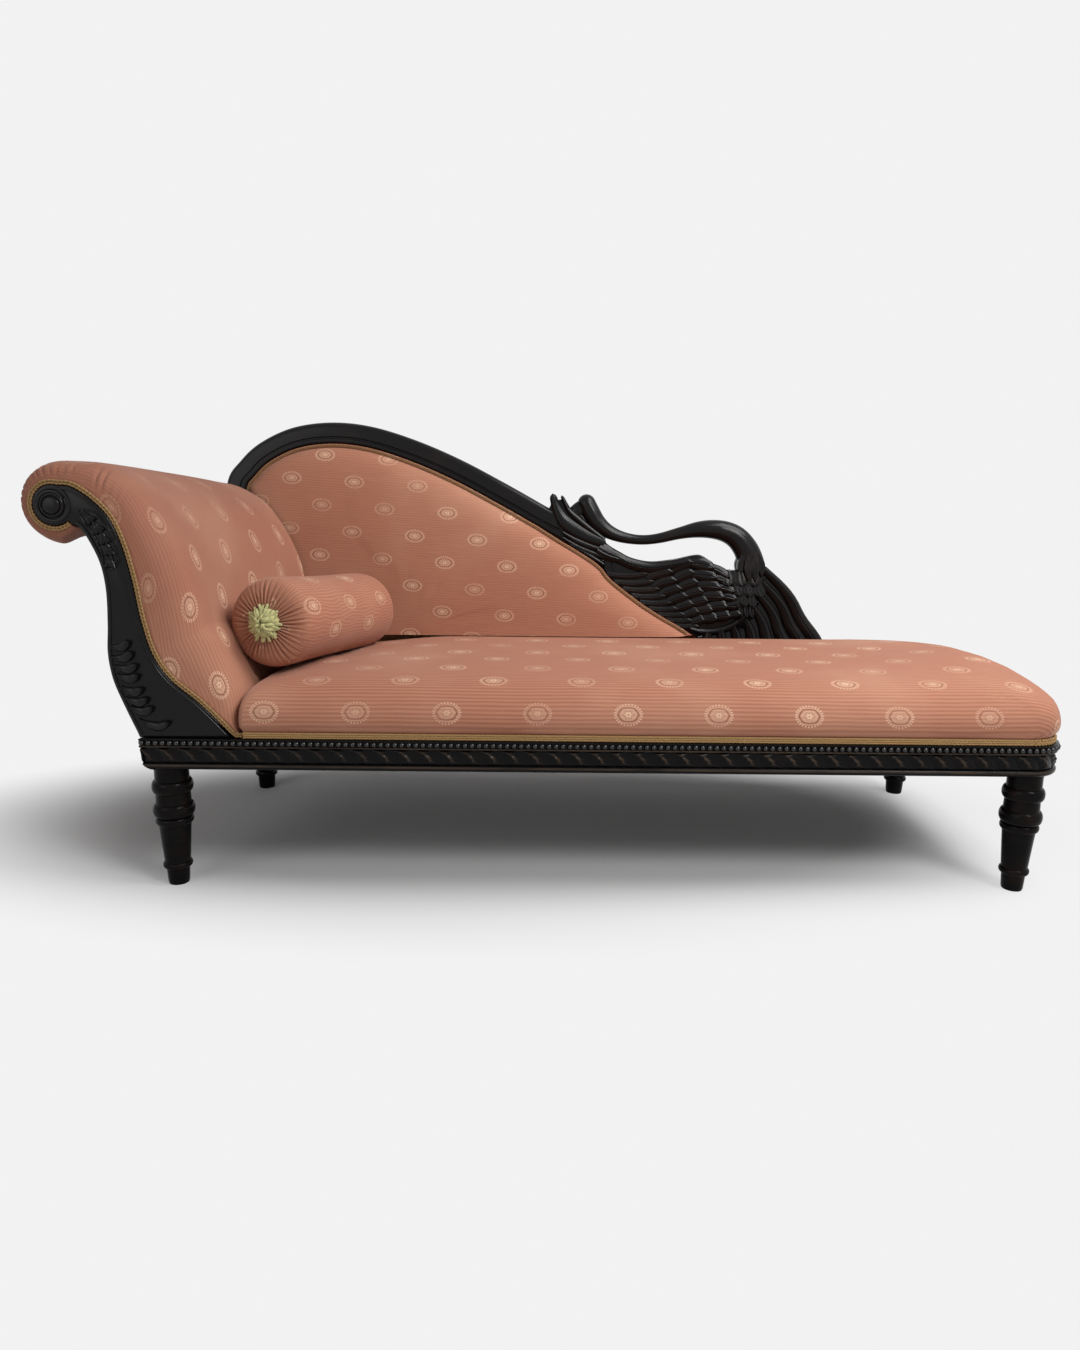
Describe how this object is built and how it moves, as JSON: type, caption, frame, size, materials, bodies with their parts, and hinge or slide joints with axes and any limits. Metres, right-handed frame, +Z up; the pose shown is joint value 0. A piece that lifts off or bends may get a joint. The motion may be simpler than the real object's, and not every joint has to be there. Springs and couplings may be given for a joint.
{
  "type": "chaise longue",
  "caption": "Upholstered chaise longue with one scrolled head end, a low shaped back that runs into a carved swan, a sprung seat on turned legs and a loose bolster.",
  "frame": {"origin": "on the floor, under the middle of the whole piece's box", "axes": "+X along the seat from the scrolled head end to the foot end, +Y from the open front to the back frame, +Z up"},
  "size_m": [1.8639, 0.685, 0.886],
  "materials": {
    "ebonised_wood": "near-black ebonised hardwood, semi-gloss polish, a little brown where it is worn",
    "frame_wood": "plain sawn frame timber, hidden",
    "cover_fabric": "salmon pink ribbed upholstery cloth with woven cream medallions, matt with a faint sheen",
    "braid": "golden ochre woven gimp braid",
    "hessian": "natural jute webbing and hessian, hidden",
    "lining": "black cotton lining cloth",
    "spring_steel": "drawn steel wire, hidden",
    "bolster_fabric": "the same salmon pink ribbed cloth, gathered at both ends",
    "tuft_fringe": "yellow-green cotton fringe rosette"
  },
  "bodies": {
    "chaise": {"front_rail": "ebonised_wood", "back_rail": "ebonised_wood", "head_rail": "ebonised_wood", "foot_rail": "ebonised_wood", "corner_block_head_front": "ebonised_wood", "corner_block_head_back": "ebonised_wood", "corner_block_foot_front": "ebonised_wood", "corner_block_foot_back": "ebonised_wood", "leg_head_front": "ebonised_wood", "leg_head_back": "ebonised_wood", "leg_foot_front": "ebonised_wood", "leg_foot_back": "ebonised_wood", "head_facing_front": "ebonised_wood", "head_facing_back": "ebonised_wood", "volute_rosette": "ebonised_wood", "back_post": "ebonised_wood", "back_crest_rail": "ebonised_wood", "swan_wing": "ebonised_wood", "swan_body": "ebonised_wood", "swan_tail": "ebonised_wood", "swan_neck": "ebonised_wood", "head_cross_rail": "frame_wood", "head_top_rail": "frame_wood", "head_mid_slat": "frame_wood", "head_lower_rail": "frame_wood", "back_lower_rail": "frame_wood", "back_upright": "frame_wood", "seat_pad": "cover_fabric", "headrest_pad": "cover_fabric", "back_pad": "cover_fabric", "head_outside_cover": "cover_fabric", "back_outside_cover": "cover_fabric", "head_gimp": "braid", "back_gimp": "braid", "seat_gimp": "braid", "seat_webbing": "hessian", "back_webbing": "hessian", "head_hessian": "hessian", "spring_hessian": "hessian", "dust_cover": "lining", "seat_spring_1_1": "spring_steel", "seat_spring_1_2": "spring_steel", "seat_spring_2_1": "spring_steel", "seat_spring_2_2": "spring_steel", "seat_spring_3_1": "spring_steel", "seat_spring_3_2": "spring_steel", "seat_spring_4_1": "spring_steel", "seat_spring_4_2": "spring_steel", "seat_spring_5_1": "spring_steel", "seat_spring_5_2": "spring_steel"},
    "bolster": {"bolster": "bolster_fabric", "bolster_rosette_front": "tuft_fringe", "bolster_rosette_back": "tuft_fringe"}
  },
  "joints": [
    {"name": "bolster_lift", "type": "slide", "parent": "chaise", "child": "bolster", "axis": [0, 0, 1], "range_m": [0, 0.35]}
  ]
}
